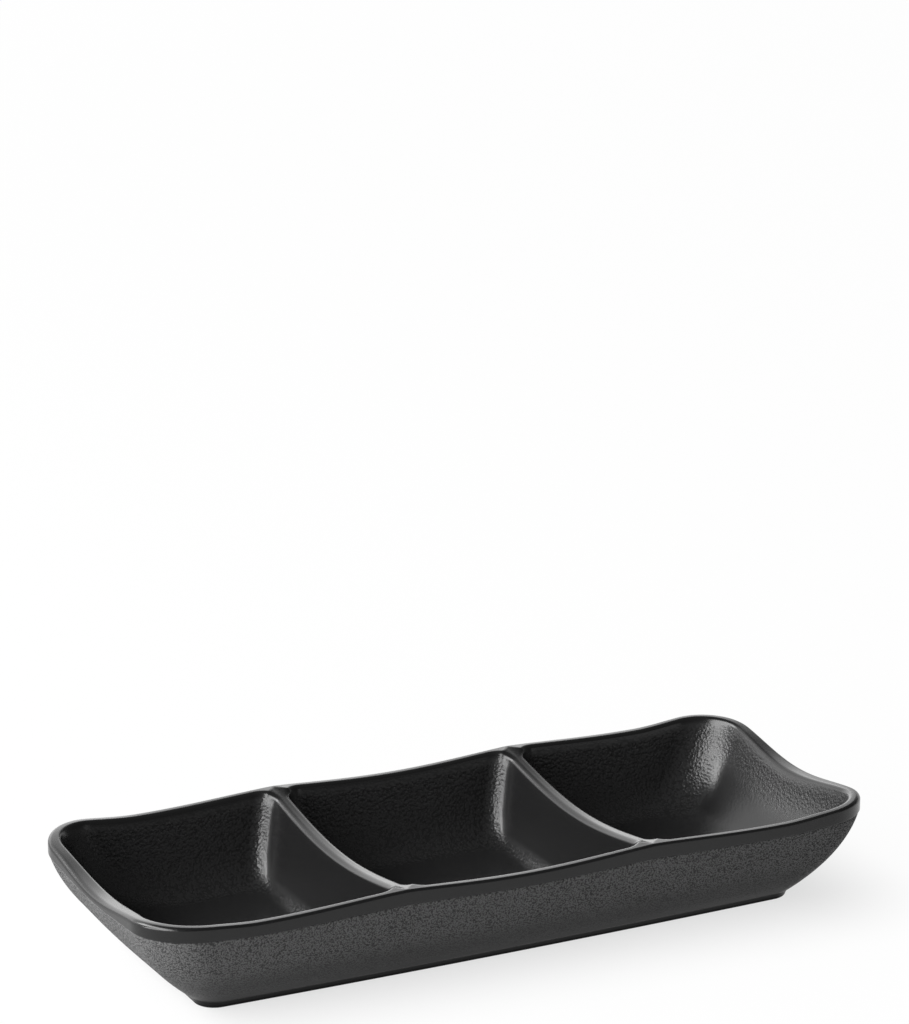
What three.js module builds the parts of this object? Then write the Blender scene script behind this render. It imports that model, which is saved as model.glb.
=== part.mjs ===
// Divided dip dish: three scooped wells under one waving rim, moulded in two bonded layers.
// The inner tray carries the rim, the smooth band, the wells and the two dividers.
// The outer shell is the grained outside wall with its foot ring, under the band of the tray.
// Millimetres, +Z up. X runs along the dish, the front looks towards -Y, and the origin is on the table
// under the middle of the dish.
import * as THREE from 'three';
import { mergeVertices } from 'three/addons/utils/BufferGeometryUtils.js';

// Rim seen from above
const dishLength = 300;
const dishWidth = 121;
const cornerRadius = 22;

// Rim seen from the side: peaks at the corners and at the dividers, dips between them
const cornerHeight = 41.3;
const postHeight = 41;
const endDip = 5.6;
const endDipPower = 2.2;
const outerDip = 2.15;
const outerDipCentre = 0.4;
const outerDipCornerPower = 2.9;
const outerDipPostPower = 1.4;
const middleDip = 2.3;
const middleDipPower = 1.2;

// Lip and the smooth band below it
const lipWidthAtEnds = 4.9;
const lipWidthAtSides = 3.8;
const lipOuterRadiusAtEnds = 2;
const lipOuterRadiusAtSides = 1.1;
const lipInnerRadius = 1.8;
const bandHeight = 5.75;
const bandStep = 0.4;
const bandDipShareAtEnds = 0.48;
const bandDipShareAtSides = 0.62;

// Dividers
const dividerSpacing = 101.4;
const dividerTopWidth = 5.6;
const dividerTopRadius = 2.4;
const dividerDip = 7.1;

// Wells: each wall falls with a lean and turns in onto the flat floor, the tighter the higher its turn power
const dividerCornerRadius = 7;
const outerFloorCornerRadius = 17;
const dividerFloorCornerRadius = 7;
const endLean = 0.28;
const sideLean = 0.14;
const dividerLean = 0.2;
const endScoopRun = 36;
const sideScoopRun = 23;
const dividerScoopRun = 13;
const endTurnPower = 2.4;
const sideTurnPower = 3;
const dividerTurnPower = 3.4;

// Outside wall and foot
const footEndInset = 26.4;
const footSideInset = 20.1;
const footCornerRadius = 8;
const footSideBow = 1.8;
const footHeight = 3.5;
const footStep = 2;
const footDraft = 1.1;
const footEdgeRadius = 1;
const footRingWidth = 5;
const recessDepth = 2;
const recessDraft = 1;
const endWallBulge = 0.61;
const sideWallBulge = 0.72;

// Layers
const shellThickness = 1.7;
const bondGap = 0.3;
const trayFloorThickness = 2.5;

// Facets
const rimArcSteps = 8;
const mouthArcSteps = 6;
const sideSteps = 7;
const endSteps = 10;
const dividerSteps = 8;
const wallSteps = 7;
const roundSteps = 3;

// Derived sizes
const halfLength = dishLength / 2;
const halfWidth = dishWidth / 2;
const cornerX = halfLength - cornerRadius;
const cornerY = halfWidth - cornerRadius;
const crestInsetAtEnds = (lipOuterRadiusAtEnds + lipWidthAtEnds - lipInnerRadius) / 2;
const crestInsetAtSides = (lipOuterRadiusAtSides + lipWidthAtSides - lipInnerRadius) / 2;
const crestY = halfWidth - crestInsetAtSides;
const dividerX = dividerSpacing / 2;
const outerCornerRadius = cornerRadius - (lipWidthAtEnds + lipWidthAtSides) / 2;
const footHalfLength = halfLength - footEndInset;
const footHalfWidth = halfWidth - footSideInset;
const shellFloorTop = recessDepth + shellThickness;
const trayFloorUnderside = shellFloorTop + bondGap;
const wellFloor = trayFloorUnderside + trayFloorThickness;
const wellDepth = cornerHeight - wellFloor;

const lerp = THREE.MathUtils.lerp;

// A dip over a span: 0 at both ends and 1 at its centre, each side with its own power.
function dip(share, centre, startPower, endPower) {
  const before = share < centre;
  const rise = before ? share / centre : (1 - share) / (1 - centre);
  return Math.sin(Math.PI / 2 * THREE.MathUtils.clamp(rise, 0, 1)) ** (before ? startPower : endPower);
}

// Wave of the rim at a station: the height of the peaks there, and how far the crest dips below them. The path
// along the rim is measured from the corner's peak, which sits half way round the corner; it runs negative along
// the end and positive along the long side.
function rimWave(station) {
  const turn = Math.atan2(Math.abs(station.normal.y), Math.abs(station.normal.x));
  const alongSide = cornerX - Math.abs(station.base.x);
  const alongEnd = cornerY - Math.abs(station.base.y);
  const halfArc = cornerRadius * Math.PI / 4;
  const path = (turn - Math.PI / 4) * cornerRadius + alongSide - alongEnd;
  const endSpan = 2 * (cornerY + halfArc);
  const outerSpan = cornerX - dividerX + halfArc;
  if (path < 0) {
    return { peak: cornerHeight, fall: endDip * dip(-path / endSpan, 0.5, endDipPower, endDipPower) };
  }
  if (path < outerSpan) {
    const share = path / outerSpan;
    const peak = lerp(cornerHeight, postHeight, THREE.MathUtils.smoothstep(share, 0, 1));
    return { peak, fall: outerDip * dip(share, outerDipCentre, outerDipCornerPower, outerDipPostPower) };
  }
  const share = (station.base.x + dividerX) / dividerSpacing;
  return { peak: postHeight, fall: middleDip * dip(share, 0.5, middleDipPower, middleDipPower) };
}

// Height of the rim's crest at a station.
function rimHeight(station) {
  const wave = rimWave(station);
  return wave.peak - wave.fall;
}

// Height of a divider's crest, which hangs between its two posts on the rim.
function dividerHeight(y) {
  return postHeight - dividerDip * dip((y + crestY) / (2 * crestY), 0.5, 1, 1);
}

// Blend of an end value and a side value by the way the wall faces.
function byFacing(normal, atEnd, atSide) {
  return lerp(atSide, atEnd, normal.x ** 2);
}

// Rim outline at a station, moved inwards by an inset.
function rimPoint(station, inset) {
  return station.base.clone().addScaledVector(station.normal, cornerRadius - inset);
}

// Distance from the rim outline to the middle of the lip.
function crestInset(normal) {
  return byFacing(normal, crestInsetAtEnds, crestInsetAtSides);
}

// Foot outline at a station, moved outwards by an offset. The long sides of the foot bow outwards.
function footPoint(station, offset) {
  const x = station.base.x / cornerX * (footHalfLength - footCornerRadius);
  const y = station.base.y / cornerY * (footHalfWidth - footCornerRadius);
  const point = new THREE.Vector2(x, y).addScaledVector(station.normal, footCornerRadius + offset);
  point.y += footSideBow * (1 - (point.x / footHalfLength) ** 2) * point.y / footHalfWidth;
  return point;
}

// Lower edge of the smooth band, which waves less than the rim does.
function bandLine(station) {
  const wave = rimWave(station);
  const share = byFacing(station.normal, bandDipShareAtEnds, bandDipShareAtSides);
  return wave.peak - bandHeight - share * wave.fall;
}

// Bulged outside wall at a height, between the foot and the band, moved in by a thickness square to it.
function wallPoint(station, height, thickness) {
  const foot = footPoint(station, footStep);
  const top = rimPoint(station, bandStep);
  const run = top.distanceTo(foot);
  const rise = bandLine(station) - bondGap - footHeight;
  const share = (height - footHeight) / rise;
  const bulge = byFacing(station.normal, endWallBulge, sideWallBulge);
  const reach = share + bulge * share * (1 - share);
  const slope = run / rise * (1 + bulge * (1 - 2 * share));
  const inwards = thickness * Math.hypot(1, slope) / run;
  return foot.clone().lerp(top, reach - inwards);
}

const atHeight = (plan, z) => new THREE.Vector3(plan.x, plan.y, z);

// One corner of a well, where two walls meet: its place at the level of the rim's peaks, its radius there and on
// the floor, and how each wall falls. The wall of a divider hangs from the divider's crest.
function wellCorner(right, back, edges, onRim) {
  const widestShare = 0.85;
  const length = edges.right - edges.left;
  const runs = edges.leftRun + edges.rightRun;
  const run = (right ? edges.rightRun : edges.leftRun) * Math.min(1, widestShare * length / runs);
  const halfDepth = halfWidth - lipWidthAtSides;
  const sideRun = Math.min(sideScoopRun, widestShare * halfDepth);
  const widestRadius = Math.min((length - Math.min(runs, widestShare * length)) / 2, halfDepth - sideRun);
  const floorRadius = onRim ? outerFloorCornerRadius : dividerFloorCornerRadius;
  return {
    place: new THREE.Vector2(right ? edges.right : edges.left, back * halfDepth),
    inward: new THREE.Vector2(right ? -1 : 1, -back),
    topRadius: onRim ? outerCornerRadius : dividerCornerRadius,
    floorRadius: Math.min(floorRadius, widestRadius),
    endWall: onRim
      ? { lean: endLean, run, power: endTurnPower, round: lipInnerRadius, hung: 0 }
      : { lean: dividerLean, run, power: dividerTurnPower, round: dividerTopRadius, hung: 1 },
    sideWall: { lean: sideLean, run: sideRun, power: sideTurnPower, round: lipInnerRadius, hung: 0 },
  };
}

// How far a wall has come in from its edge at a share of the well's depth, which is negative above the corners.
function wallOut(wall, depthShare, ridgeShare) {
  const lean = wall.lean * wellDepth;
  const start = wall.hung * ridgeShare;
  const turnIn = 1 - (1 - Math.max(depthShare, 0) ** wall.power) ** (1 / wall.power);
  return lean * (depthShare - start) + Math.max(wall.run - lean * (1 - start), 0) * turnIn;
}

// A corner of a well in plan at a share of the depth, on the side that a station faces.
function cornerPlan(corner, station, depthShare) {
  const radius = lerp(corner.topRadius, corner.floorRadius, Math.max(depthShare, 0));
  const outX = wallOut(corner.endWall, depthShare, station.ridgeShare) + radius;
  const outY = wallOut(corner.sideWall, depthShare, station.ridgeShare) + radius;
  const out = new THREE.Vector2(corner.inward.x * outX, corner.inward.y * outY);
  return out.add(corner.place).addScaledVector(station.facing, radius);
}

// The cup of a well in plan at a share of the depth: a corner, or on a side the blend of the two that it joins.
function cupPlan(station, depthShare) {
  const following = cornerPlan(station.to, station, depthShare);
  return cornerPlan(station.from, station, depthShare).lerp(following, station.share);
}

// Stations round one well, anticlockwise from its right front corner. Each holds the point on the crest that
// bounds the well, the way it faces, and the corners before and after it. A station on the rim also holds the
// rim's base point and facing. Each end of a well lies on the rim or else on a divider.
function wellStations(leftX, rightX, leftOnRim, rightOnRim) {
  const edges = {
    left: leftX + (leftOnRim ? lipWidthAtEnds : dividerTopWidth / 2),
    right: rightX - (rightOnRim ? lipWidthAtEnds : dividerTopWidth / 2),
    leftRun: leftOnRim ? endScoopRun : dividerScoopRun,
    rightRun: rightOnRim ? endScoopRun : dividerScoopRun,
  };
  const quarter = Math.PI / 2;
  const toDivider = dividerCornerRadius + dividerTopWidth / 2;
  const toRim = dividerCornerRadius + lipWidthAtSides - crestInsetAtSides;

  function stationAt(corner, facing, crestPlan, base, normal) {
    const ridge = dividerHeight(crestPlan.y);
    const ridgeShare = (cornerHeight - ridge) / wellDepth;
    const station = { from: corner, to: corner, share: 0, facing, ridgeShare, base, normal };
    return { ...station, crest: atHeight(crestPlan, base ? rimHeight(station) : ridge) };
  }

  // Stations of a corner under the rim's own corner follow the rim. Those at a divider are thrown from the
  // corner's centre onto the crest that comes first, and spread so that one of them meets the post exactly.
  function cornerStation(corner, right, back, onRim, angle) {
    const facing = new THREE.Vector2(Math.cos(angle), Math.sin(angle));
    if (onRim) {
      const base = new THREE.Vector2(right ? cornerX : -cornerX, back * cornerY);
      const crest = rimPoint({ base, normal: facing }, crestInset(facing));
      return stationAt(corner, facing, crest, base, facing);
    }
    const throwX = toDivider / Math.max(Math.abs(facing.x), 1e-9);
    const throwY = toRim / Math.max(Math.abs(facing.y), 1e-9);
    const crest = corner.place.clone().addScaledVector(corner.inward, dividerCornerRadius);
    crest.addScaledVector(facing, Math.min(throwX, throwY));
    if (throwY <= throwX * (1 + 1e-9)) {
      const base = new THREE.Vector2(crest.x, back * cornerY);
      return stationAt(corner, facing, crest, base, new THREE.Vector2(0, back));
    }
    return stationAt(corner, facing, crest, null, null);
  }

  function cornerStations(right, back, start) {
    const onRim = right ? rightOnRim : leftOnRim;
    const corner = wellCorner(right, back, edges, onRim);
    const steps = onRim ? rimArcSteps : mouthArcSteps;
    const post = Math.atan2(toRim, toDivider);
    const startsOnSide = (right > 0) === (back < 0);
    const middle = onRim ? quarter / 2 : startsOnSide ? quarter - post : post;
    return Array.from({ length: steps + 1 }, (_, i) => {
      const share = 2 * i / steps;
      const turn = share <= 1 ? middle * share : lerp(middle, quarter, share - 1);
      return cornerStation(corner, right, back, onRim, start + turn);
    });
  }

  function sideStations(first, last, steps) {
    return Array.from({ length: steps - 1 }, (_, i) => {
      const share = (i + 1) / steps;
      const crest = new THREE.Vector2().copy(first.crest).lerp(new THREE.Vector2().copy(last.crest), share);
      const base = first.base && last.base && first.base.clone().lerp(last.base, share);
      const station = stationAt(first.from, first.facing, crest, base, first.normal);
      return { ...station, to: last.from, share };
    });
  }

  const corners = [
    cornerStations(1, -1, -quarter),
    cornerStations(1, 1, 0),
    cornerStations(0, 1, quarter),
    cornerStations(0, -1, 2 * quarter),
  ];
  const steps = [rightOnRim ? endSteps : dividerSteps, sideSteps, leftOnRim ? endSteps : dividerSteps, sideSteps];
  return corners.flatMap((corner, i) => {
    const next = corners[(i + 1) % corners.length];
    return [...corner, ...sideStations(corner.at(-1), next[0], steps[i])];
  });
}

// Triangles of a skin carried over closed loops of equal length, each facing the way it is wrapped: a loop is
// anticlockwise from above, and the skin starts or ends on a pole where one is given.
function skin(loops, startPole, endPole) {
  const triangles = [];
  const count = loops[0].length;
  for (let j = 0; j < count; j += 1) {
    const k = (j + 1) % count;
    if (startPole) {
      triangles.push(startPole, loops[0][j], loops[0][k]);
    }
    for (let i = 0; i + 1 < loops.length; i += 1) {
      const near = loops[i];
      const far = loops[i + 1];
      triangles.push(far[j], far[k], near[k]);
      triangles.push(far[j], near[k], near[j]);
    }
    if (endPole) {
      triangles.push(endPole, loops.at(-1)[k], loops.at(-1)[j]);
    }
  }
  return triangles;
}

// One closed body from the triangles of its skins.
function bodyOf(triangles) {
  const geometry = new THREE.BufferGeometry().setFromPoints(triangles);
  const merged = mergeVertices(geometry, 1e-4);
  merged.computeVertexNormals();
  return merged;
}

// Surface of one well, from the middle of its floor up its walls and over the lip to the crest. The walls belong to
// a cup that the waving crest cuts off, and the lip rolls from the wall's lean to the level crest.
function wellSkin(stations) {
  const floor = stations.map((station) => atHeight(cupPlan(station, 1), wellFloor));
  const middle = new THREE.Vector3();
  floor.forEach((point) => middle.addScaledVector(point, 1 / floor.length));
  const lips = stations.map((station) => {
    const { endWall, sideWall } = station.from;
    const lean = byFacing(station.facing, endWall.lean, sideWall.lean);
    const radius = byFacing(station.facing, endWall.round, sideWall.round);
    const tilt = Math.atan(lean);
    const roll = radius * Math.tan((Math.PI / 2 - tilt) / 2);
    const fall = cornerHeight - station.crest.z;
    const edge = cupPlan(station, fall / wellDepth);
    const toCrest = new THREE.Vector2().copy(station.crest).sub(edge).normalize();
    return { station, radius, tilt, roll, edge, toCrest, top: (fall + roll * Math.cos(tilt)) / wellDepth };
  });
  const loops = [floor];
  for (let i = wallSteps - 1; i >= 0; i -= 1) {
    const way = Math.sin(Math.PI / 2 * i / wallSteps) ** (2 / sideTurnPower);
    loops.push(lips.map(({ station, top }) => {
      const share = lerp(top, 1, way);
      return atHeight(cupPlan(station, share), cornerHeight - wellDepth * share);
    }));
  }
  for (let i = 1; i <= roundSteps; i += 1) {
    loops.push(lips.map(({ station, radius, tilt, roll, edge, toCrest }) => {
      const turn = lerp(tilt, Math.PI / 2, i / roundSteps);
      const plan = edge.clone().addScaledVector(toCrest, roll - radius * Math.cos(turn));
      return atHeight(plan, station.crest.z - radius * (1 - Math.sin(turn)));
    }));
  }
  loops.push(stations.map((station) => station.crest));
  return skin(loops, middle, null);
}

// Stations along the rim, anticlockwise from the left end. The wells on both sides of a post share its station.
function rimStations(wells) {
  const angleAt = (station) => Math.atan2(station.crest.y, station.crest.x);
  const onRim = wells.flat().filter((station) => station.base);
  const byAngle = onRim.sort((one, other) => angleAt(one) - angleAt(other));
  return byAngle.filter((station, i) => i === 0 || station.crest.distanceTo(byAngle[i - 1].crest) > 1e-4);
}

// Loops of a wall from one height to another, each height given per station.
function wallLoops(stations, thickness, fromHeight, toHeight, steps) {
  return Array.from({ length: steps + 1 }, (_, i) => stations.map((station) => {
    const height = lerp(fromHeight(station), toHeight(station), i / steps);
    return atHeight(wallPoint(station, height, thickness), height);
  }));
}

function innerTray(wells, rim) {
  const loops = [rim.map((station) => station.crest)];
  for (let i = 0; i <= roundSteps; i += 1) {
    const turn = Math.PI / 2 * (i / roundSteps);
    loops.push(rim.map((station) => {
      const radius = byFacing(station.normal, lipOuterRadiusAtEnds, lipOuterRadiusAtSides);
      const plan = rimPoint(station, radius * (1 - Math.sin(turn)));
      return atHeight(plan, station.crest.z - radius * (1 - Math.cos(turn)));
    }));
  }
  loops.push(rim.map((station) => atHeight(rimPoint(station, 0), bandLine(station))));
  loops.push(...wallLoops(rim, shellThickness + bondGap, bandLine, () => trayFloorUnderside, wallSteps));
  const outside = skin(loops, null, new THREE.Vector3(0, 0, trayFloorUnderside));
  return bodyOf([...wells.flatMap(wellSkin), ...outside]);
}

function outerShell(rim) {
  const shellTop = (station) => bandLine(station) - bondGap;
  const footLoop = (offset, z) => rim.map((station) => atHeight(footPoint(station, offset), z));
  const loops = [
    ...wallLoops(rim, shellThickness, () => shellFloorTop, shellTop, wallSteps),
    ...wallLoops(rim, 0, shellTop, () => footHeight, wallSteps),
    footLoop(footDraft, footHeight - (footStep - footDraft) / 2),
    footLoop(0, footEdgeRadius),
  ];
  for (let i = 1; i <= roundSteps; i += 1) {
    const turn = Math.PI / 2 * (i / roundSteps);
    loops.push(footLoop(-footEdgeRadius * (1 - Math.cos(turn)), footEdgeRadius * (1 - Math.sin(turn))));
  }
  loops.push(footLoop(-footRingWidth, 0));
  loops.push(footLoop(-footRingWidth - recessDraft, recessDepth));
  return bodyOf(skin(loops, new THREE.Vector3(0, 0, shellFloorTop), new THREE.Vector3(0, 0, recessDepth)));
}

function piece(name, geometry, color, roughness) {
  const material = new THREE.MeshStandardMaterial({ color, roughness, metalness: 0 });
  const mesh = new THREE.Mesh(geometry, material);
  mesh.name = name;
  return mesh;
}

const leftWell = wellStations(-halfLength, -dividerX, true, false);
const middleWell = wellStations(-dividerX, dividerX, false, false);
const rightWell = wellStations(dividerX, halfLength, false, true);
const wells = [leftWell, middleWell, rightWell];
const rim = rimStations(wells);

const dish = new THREE.Group();
dish.name = 'divided_dip_dish';
dish.add(piece('inner_tray', innerTray(wells, rim), 0x1d1d1e, 0.42));
dish.add(piece('outer_shell', outerShell(rim), 0x3c3c3d, 0.7));

export default dish;
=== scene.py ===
"""Looks of a divided dip dish, made of two moulded layers.

The inner tray is satin black: smooth on the rim, band and dividers, and finely hammered in its wells.
The outer shell is charcoal with a sand grain that darkens down the wall as painted shade near the floor, and
stands on a smooth dark foot.
Metres, +Z up. X runs along the dish, and its front looks towards -Y.
"""
import math

import bpy
import numpy as np
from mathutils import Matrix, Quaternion, Vector


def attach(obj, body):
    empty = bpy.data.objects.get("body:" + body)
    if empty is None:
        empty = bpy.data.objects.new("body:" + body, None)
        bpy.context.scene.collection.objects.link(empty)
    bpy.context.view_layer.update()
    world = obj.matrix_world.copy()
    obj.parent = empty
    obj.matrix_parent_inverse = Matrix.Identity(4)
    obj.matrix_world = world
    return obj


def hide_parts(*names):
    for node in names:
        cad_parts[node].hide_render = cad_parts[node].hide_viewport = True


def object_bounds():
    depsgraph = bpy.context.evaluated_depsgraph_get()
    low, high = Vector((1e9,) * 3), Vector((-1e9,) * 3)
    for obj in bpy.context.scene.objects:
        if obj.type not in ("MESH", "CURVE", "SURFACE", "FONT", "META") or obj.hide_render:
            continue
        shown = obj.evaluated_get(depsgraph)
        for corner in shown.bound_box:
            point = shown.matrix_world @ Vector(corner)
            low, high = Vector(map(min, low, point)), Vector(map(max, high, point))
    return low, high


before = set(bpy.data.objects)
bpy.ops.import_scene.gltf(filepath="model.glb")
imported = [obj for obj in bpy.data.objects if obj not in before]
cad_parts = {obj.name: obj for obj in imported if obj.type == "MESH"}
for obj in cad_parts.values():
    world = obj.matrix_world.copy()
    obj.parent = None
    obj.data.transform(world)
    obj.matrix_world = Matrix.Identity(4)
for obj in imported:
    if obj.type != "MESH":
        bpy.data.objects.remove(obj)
cad_low, cad_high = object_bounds()

# Rim seen from above and from the side
HALF_LENGTH = cad_high.x
HALF_WIDTH = cad_high.y
CORNER_RADIUS = 0.022
CORNER_HEIGHT = cad_high.z
POST_HEIGHT = 0.041
END_DIP = 0.0056
END_DIP_POWER = 2.2
OUTER_DIP = 0.00215
OUTER_DIP_CENTRE = 0.4
OUTER_DIP_CORNER_POWER = 2.9
OUTER_DIP_POST_POWER = 1.4
MIDDLE_DIP = 0.0023
MIDDLE_DIP_POWER = 1.2

# Lip and the smooth band below it
LIP_WIDTH_AT_ENDS = 0.0049
LIP_WIDTH_AT_SIDES = 0.0038
LIP_OUTER_RADIUS_AT_ENDS = 0.002
LIP_OUTER_RADIUS_AT_SIDES = 0.0011
LIP_INNER_RADIUS = 0.0018
BAND_HEIGHT = 0.00575
BAND_STEP = 0.0004
BAND_EDGE_RADIUS = 0.0004
BAND_DIP_SHARE_AT_ENDS = 0.48
BAND_DIP_SHARE_AT_SIDES = 0.62

# Dividers
DIVIDER_SPACING = 0.1014
DIVIDER_TOP_WIDTH = 0.0056
DIVIDER_TOP_RADIUS = 0.0024
DIVIDER_DIP = 0.0071

# Wells
DIVIDER_CORNER_RADIUS = 0.007
OUTER_FLOOR_CORNER_RADIUS = 0.017
DIVIDER_FLOOR_CORNER_RADIUS = 0.007
END_LEAN = 0.28
SIDE_LEAN = 0.14
DIVIDER_LEAN = 0.2
END_SCOOP_RUN = 0.036
SIDE_SCOOP_RUN = 0.023
DIVIDER_SCOOP_RUN = 0.013
END_TURN_POWER = 2.4
SIDE_TURN_POWER = 3.0
DIVIDER_TURN_POWER = 3.4

# Outside wall and foot
FOOT_END_INSET = 0.0264
FOOT_SIDE_INSET = 0.0201
FOOT_CORNER_RADIUS = 0.008
FOOT_SIDE_BOW = 0.0018
FOOT_HEIGHT = 0.0035
FOOT_STEP = 0.002
FOOT_DRAFT = 0.0011
FOOT_EDGE_RADIUS = 0.001
FOOT_RING_WIDTH = 0.005
RECESS_DEPTH = 0.002
RECESS_DRAFT = 0.001
END_WALL_BULGE = 0.61
SIDE_WALL_BULGE = 0.72

# Bend of the wall into the foot: its start above the foot, and its end as a share of the foot's face
FOOT_BEND_RISE = 0.0006
FOOT_BEND_SHARE = 0.3

# Layers
SHELL_THICKNESS = 0.0017
BOND_GAP = 0.0003
SHELL_EDGE_GAP = 0.00005
TRAY_FLOOR_THICKNESS = 0.0025

# Steps of the surfaces
RIM_ARC_STEPS = 28
MOUTH_ARC_STEPS = 28
SIDE_STEPS = 40
END_STEPS = 48
DIVIDER_STEPS = 44
WALL_STEPS = 44
ROUND_STEPS = 8
HIDDEN_STEPS = 16
HALF_STEPS = np.array([0.5, 1.0])
WELL_FLOOR_SHARES = np.array([0.0, 0.45, 0.8])
RECESS_SHARES = (0.0, 0.15, 0.85, 1.0)
EDGE_GUARD = 0.0003

# Distances below which two points or two throws count as the same
WELD_GRID = 1e-7
SAME_PLACE = 1e-6
TINY = 1e-9

# Hammered grain: where it comes in with the depth below the crest, and how far down it fades on the ends
WALL_GRAIN_START = (0.0015, 0.005)
END_GRAIN_START = (0.0007, 0.0025)
END_GRAIN_FADE = (0.007, 0.019)
# Where it stops or comes in with the height above the well's floor
WALL_GRAIN_STOP = (0.0, 0.002)
TURN_GRAIN_START = (0.0, 0.0008)
TURN_GRAIN_STOP = (0.0025, 0.006)
# How far a station has to face along Y to have a grained wall, and along X to count as a scooped end
GRAINED_FACING = (0.35, 0.6)
END_FACING = (0.84, 0.99)
# Its strength in the belt below an end's lip, low on that end, on the floor and in the turn to the floor
END_BELT_GRAIN = 0.8
END_LOW_GRAIN = 0.15
FLOOR_GRAIN = 0.45
TURN_GRAIN = 0.85

# Sand grain: its strength low on the wall, and its fades by the share of the way from band to foot. The same
# mask darkens the colour down the wall: painted shade near the floor, ending in the foot's own dark colour.
SAND_AND_SHADE_LOW = 0.35
SAND_AND_SHADE_FADE = (0.4, 0.86)
SAND_STOP = (0.86, 1.0)

# Pattern of the moulded grain
GRAIN_SHIFT_DETAIL = 1.0
GRAIN_SMOOTHNESS = 0.3
GRAIN_PIT_START = 0.42
GRAIN_PIT_FULL = 0.68
CRUMB_FINENESS = 2.3
CRUMB_DETAIL = 2.0
CRUMB_HEIGHT = 0.35

# Satin black finish of the tray
SMOOTH_BLACK = (0.0055, 0.0055, 0.0056, 1)
PEBBLE_BLACK = (0.015, 0.015, 0.0152, 1)
PEBBLE_PIT_BLACK = (0.009, 0.009, 0.0091, 1)
PEBBLE_COLOUR_GAIN = 2.5
PEBBLE_CELL = 0.0011
PEBBLE_RELIEF = 0.00017
TRAY_ROUGHNESS = 0.23
PEBBLE_EXTRA_ROUGHNESS = 0.04
TRAY_IOR = 1.4

# Grained charcoal finish of the shell
FOOT_BLACK = (0.004, 0.004, 0.0041, 1)
SAND_CHARCOAL = (0.096, 0.096, 0.0965, 1)
SAND_PIT_CHARCOAL = (0.036, 0.036, 0.0362, 1)
SAND_CELL = 0.0006
SAND_RELIEF = 0.00022
FOOT_ROUGHNESS = 0.32
SAND_EXTRA_ROUGHNESS = 0.2
SAND_PIT_EXTRA_ROUGHNESS = 0.35
SHELL_IOR = 1.16

# Floor and room
FLOOR_REACH = 12.0
FLOOR_BACK = 2.4
FLOOR_TURN_RADIUS = 0.6
FLOOR_TURN_STEPS = 24
FLOOR_TOP = 1.25
FLOOR_GAP = 0.00002
FLOOR_GREY = (0.6, 0.6, 0.6, 1)
FLOOR_WHITE_AT_FOOT = 0.7
FLOOR_WHITE_AWAY = 0.97
FLOOR_WHITE_RUN = 0.06
WHITE = (1, 1, 1, 1)
ROOM_STRENGTH = 0.18

# Camera at the photograph's viewpoint
CAMERA_PLACE = (-0.63535, -1.26927, 0.58159)
CAMERA_AZIMUTH = -26.509
CAMERA_ELEVATION = 16.531
CAMERA_LENS = 140.67
CAMERA_SENSOR_WIDTH = 36.0
CAMERA_CLIP_END = 100.0

# Derived sizes
CORNER_X = HALF_LENGTH - CORNER_RADIUS
CORNER_Y = HALF_WIDTH - CORNER_RADIUS
CREST_INSET_AT_ENDS = (LIP_OUTER_RADIUS_AT_ENDS + LIP_WIDTH_AT_ENDS - LIP_INNER_RADIUS) / 2
CREST_INSET_AT_SIDES = (LIP_OUTER_RADIUS_AT_SIDES + LIP_WIDTH_AT_SIDES - LIP_INNER_RADIUS) / 2
CREST_Y = HALF_WIDTH - CREST_INSET_AT_SIDES
DIVIDER_X = DIVIDER_SPACING / 2
OUTER_CORNER_RADIUS = CORNER_RADIUS - (LIP_WIDTH_AT_ENDS + LIP_WIDTH_AT_SIDES) / 2
FOOT_HALF_LENGTH = HALF_LENGTH - FOOT_END_INSET
FOOT_HALF_WIDTH = HALF_WIDTH - FOOT_SIDE_INSET
SHELL_FLOOR_TOP = RECESS_DEPTH + SHELL_THICKNESS
TRAY_UNDERSIDE = SHELL_FLOOR_TOP + BOND_GAP
WELL_FLOOR = TRAY_UNDERSIDE + TRAY_FLOOR_THICKNESS
WELL_DEPTH = CORNER_HEIGHT - WELL_FLOOR
ROUND_SHARES = np.arange(1, ROUND_STEPS + 1) / ROUND_STEPS
HIDDEN_SHARES = np.linspace(0.0, 1.0, HIDDEN_STEPS + 1)
QUARTER_TURN = np.linspace(0.0, np.pi / 2, ROUND_STEPS + 1)


def blend(first, second, share):
    """The first value at share 0, the second at share 1, and a straight mix between them."""
    return first + (second - first) * share


def dip(share, centre, start_power, end_power):
    """A dip over a span: on each side of its centre a quarter sine, raised to that side's power."""
    before = share < centre
    rise = np.where(before, share / centre, (1 - share) / (1 - centre))
    return np.sin(np.pi / 2 * np.clip(rise, 0.0, 1.0)) ** np.where(before, start_power, end_power)


def smooth_step(low, high, value):
    """0 below low, 1 above high, and a cubic with level ends between them."""
    share = np.clip((value - low) / (high - low), 0.0, 1.0)
    return share * share * (3.0 - 2.0 * share)


def by_facing(normal, at_end, at_side):
    """An end value and a side value, blended by the square of the x part of the facing."""
    return blend(at_side, at_end, normal[..., 0] ** 2)


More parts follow.
